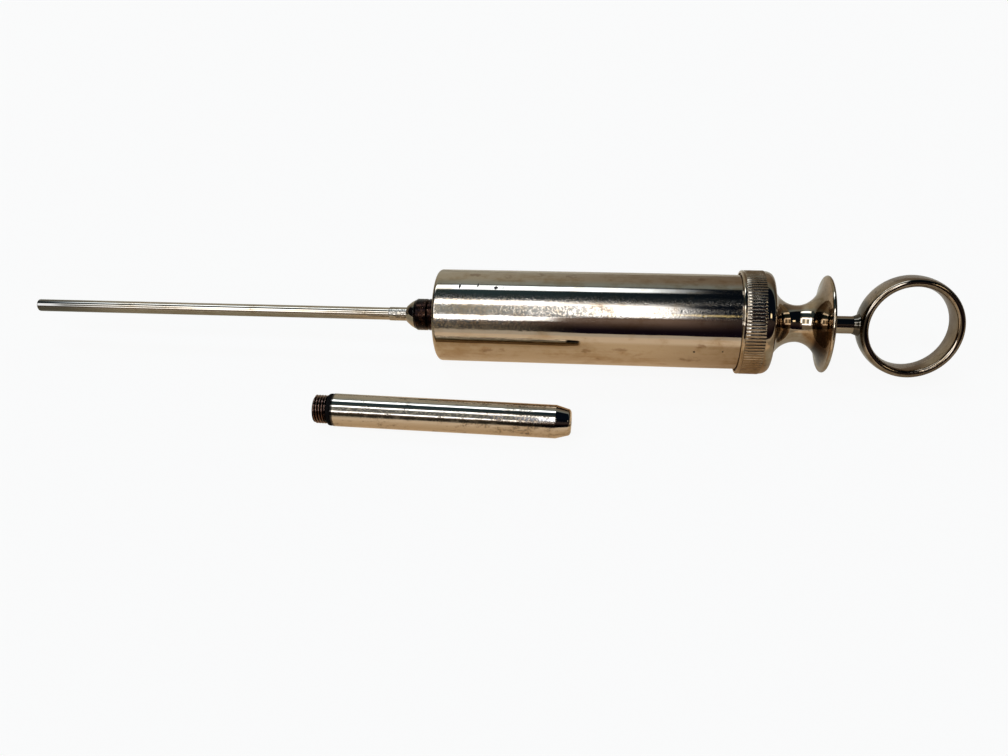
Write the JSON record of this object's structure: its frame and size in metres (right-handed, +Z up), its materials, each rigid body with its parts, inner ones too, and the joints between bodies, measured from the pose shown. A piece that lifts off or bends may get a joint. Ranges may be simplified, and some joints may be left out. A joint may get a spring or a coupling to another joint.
{
  "type": "veterinary dosing syringe",
  "caption": "Nickel-plated brass dosing syringe with a thumb ring, waisted finger grip, knurled screw cap, long straight pipe and a spare blunt nozzle beside it.",
  "frame": {"origin": "on the syringe's axis, at the middle of the bare barrel wall", "axes": "+X along the axis from the pipe's tip to the thumb ring, +Z up from the bench that the syringe lies on, spare nozzle on the -Y side"},
  "size_m": [0.3299, 0.0642, 0.0354],
  "materials": {
    "barrel_nickel": "bright nickel plate on brass, polished and tarnished in lengthwise bands",
    "cap_nickel": "nickel plate on brass, knurled, warm tarnish",
    "grip_nickel": "nickel plate on brass, mirror polished, warm tarnish",
    "rod_nickel": "nickel plate on brass, polished",
    "ring_nickel": "nickel plate on brass, darkened",
    "pipe_nickel": "nickel plate on brass tube, polished with brown specks",
    "solder": "soft solder under worn nickel plate",
    "hub_brass": "brass with dark brown patina, nickel left on its nose",
    "nozzle_nickel": "bright nickel plate on brass, streaked tarnish",
    "screw_patina": "brass screw with dark brown patina, coppery crests",
    "inner_brass": "machined brass, bare",
    "piston_leather": "oiled cup leather",
    "gasket_leather": "oiled leather",
    "washer_leather": "old dark leather"
  },
  "bodies": {
    "barrel": {"barrel": "barrel_nickel", "nozzle_boss": "inner_brass", "thread_collar": "inner_brass"},
    "piston_seals": {"front_leather": "piston_leather", "rear_leather": "piston_leather"},
    "plunger": {"plunger_rod": "rod_nickel", "ring_handle": "ring_nickel", "piston_nut": "inner_brass", "piston_front_plate": "inner_brass", "piston_spacer": "inner_brass", "piston_rear_plate": "inner_brass"},
    "cap_seal": {"cap_gasket": "gasket_leather"},
    "cap": {"screw_cap": "cap_nickel", "finger_grip": "grip_nickel"},
    "pipe_seal": {"pipe_washer": "washer_leather"},
    "pipe": {"dosing_pipe": "pipe_nickel", "solder_sleeve": "solder", "pipe_hub": "hub_brass"},
    "spare_nozzle": {"nozzle_tube": "nozzle_nickel", "nozzle_nose": "nozzle_nickel", "nozzle_screw": "screw_patina", "nozzle_washer": "washer_leather"}
  },
  "joints": [
    {"name": "plunger_slide", "type": "slide", "parent": "barrel", "child": "piston_seals", "axis": [1, 0, 0], "range_m": [0, 0.0895]},
    {"name": "plunger_turn", "type": "hinge", "parent": "piston_seals", "child": "plunger", "pos_m": [0, 0, 0], "axis": [1, 0, 0], "continuous": true},
    {"name": "cap_rise", "type": "slide", "parent": "barrel", "child": "cap_seal", "axis": [1, 0, 0], "range_m": [0, 0.0051]},
    {"name": "cap_turn", "type": "hinge", "parent": "cap_seal", "child": "cap", "pos_m": [0.0517, 0, 0], "axis": [1, 0, 0], "range_deg": [0, 1440]},
    {"name": "pipe_rise", "type": "slide", "parent": "barrel", "child": "pipe_seal", "axis": [-1, 0, 0], "range_m": [0, 0.00566]},
    {"name": "pipe_turn", "type": "hinge", "parent": "pipe_seal", "child": "pipe", "pos_m": [-0.0517, 0, 0], "axis": [-1, 0, 0], "range_deg": [0, 2160]},
    {"name": "nozzle_lift", "type": "slide", "parent": "barrel", "child": "spare_nozzle", "axis": [0, 0, 1], "range_m": [0, 0.08]}
  ],
  "couplings": [
    {"joint": "cap_rise", "follows": "cap_turn", "m_per_rad": 0.00020213},
    {"joint": "pipe_rise", "follows": "pipe_turn", "m_per_rad": 0.00014972}
  ]
}
